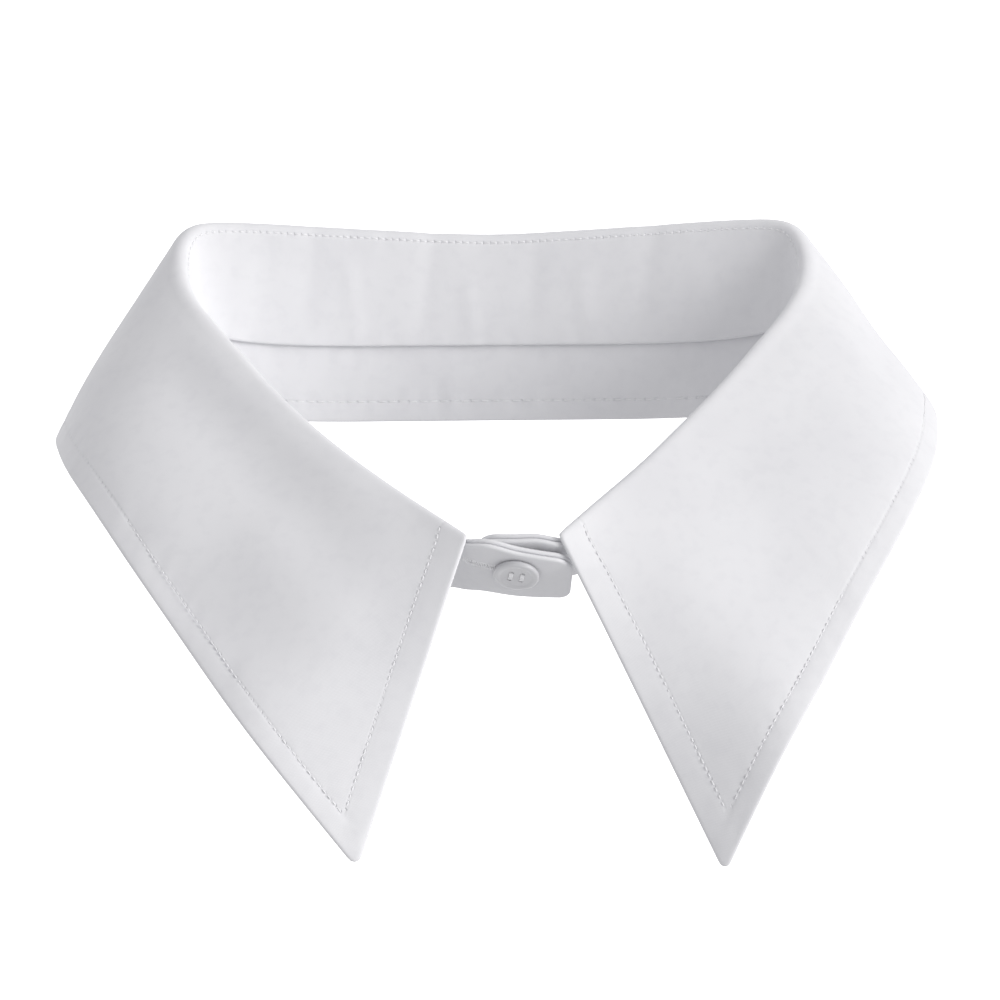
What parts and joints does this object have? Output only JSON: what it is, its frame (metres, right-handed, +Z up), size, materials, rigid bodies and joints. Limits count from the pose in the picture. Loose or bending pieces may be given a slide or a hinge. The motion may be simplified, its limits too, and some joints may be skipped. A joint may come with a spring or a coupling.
{
  "type": "detachable shirt collar",
  "caption": "Turn-down detachable shirt collar with pointed leaves and a buttoned stand, held open in the round as if on a neck.",
  "frame": {"origin": "middle of the neck opening, about level with the buttoned front", "axes": "+X to the wearer's left, -Y to the front, where the points and the button are, +Z up"},
  "size_m": [0.2068, 0.1454, 0.1289],
  "materials": {
    "poplin": "white cotton poplin, matte",
    "stand_poplin": "white cotton poplin, matte",
    "button_resin": "white resin, soft gloss",
    "thread": "white sewing thread"
  },
  "bodies": {
    "root": {"leaf": "poplin", "stand_outer": "stand_poplin", "stand_inner": "stand_poplin", "button": "button_resin", "button_shank": "thread"}
  },
  "joints": []
}
